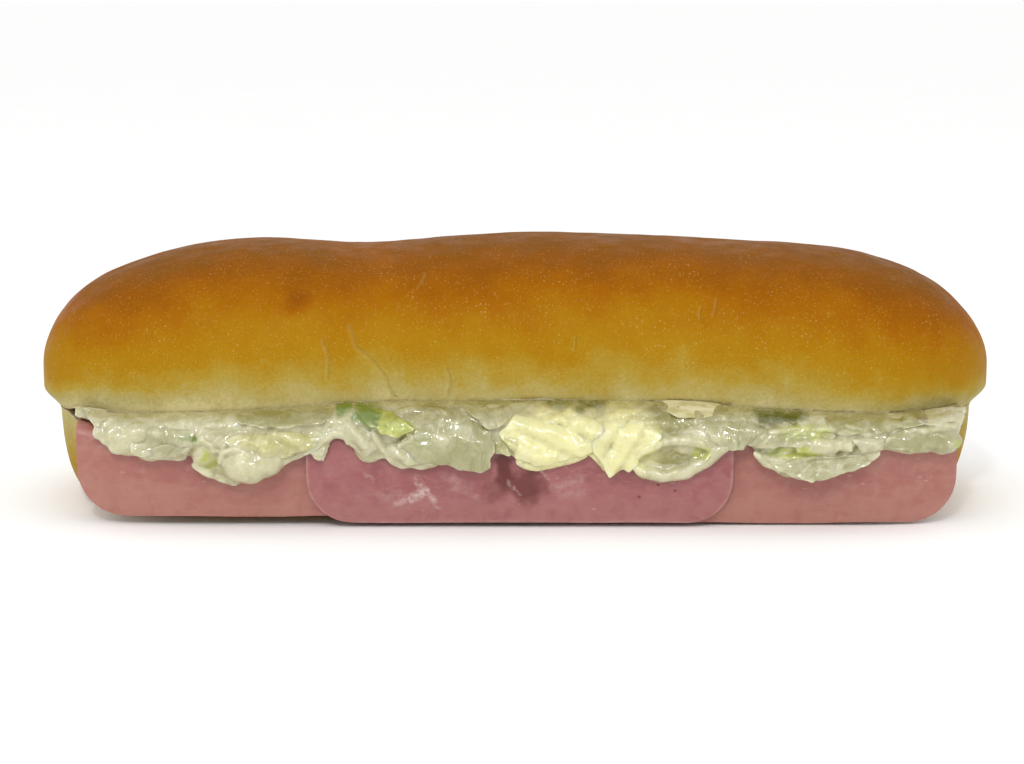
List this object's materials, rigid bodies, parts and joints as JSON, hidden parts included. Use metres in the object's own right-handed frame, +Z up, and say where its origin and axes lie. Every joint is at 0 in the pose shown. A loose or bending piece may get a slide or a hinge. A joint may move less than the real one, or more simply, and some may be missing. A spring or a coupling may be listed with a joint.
{
  "type": "filled bread roll",
  "caption": "Long soft bread roll cut open along its front, filled with draped cooked ham slices and a creamy chopped lettuce salad.",
  "frame": {"origin": "middle of the footprint, at the level of the surface the roll stands on", "axes": "+X along the roll towards its more tapered end, -Y towards the open front, +Z up"},
  "size_m": [0.2066, 0.0752, 0.0576],
  "materials": {
    "crust": "satin golden brown crust",
    "ham": "moist pink meat",
    "salad": "wet cream and pale green leaf"
  },
  "bodies": {
    "root": {"roll": "crust", "ham_left": "ham", "ham_middle": "ham", "ham_right": "ham", "salad": "salad"}
  },
  "joints": []
}
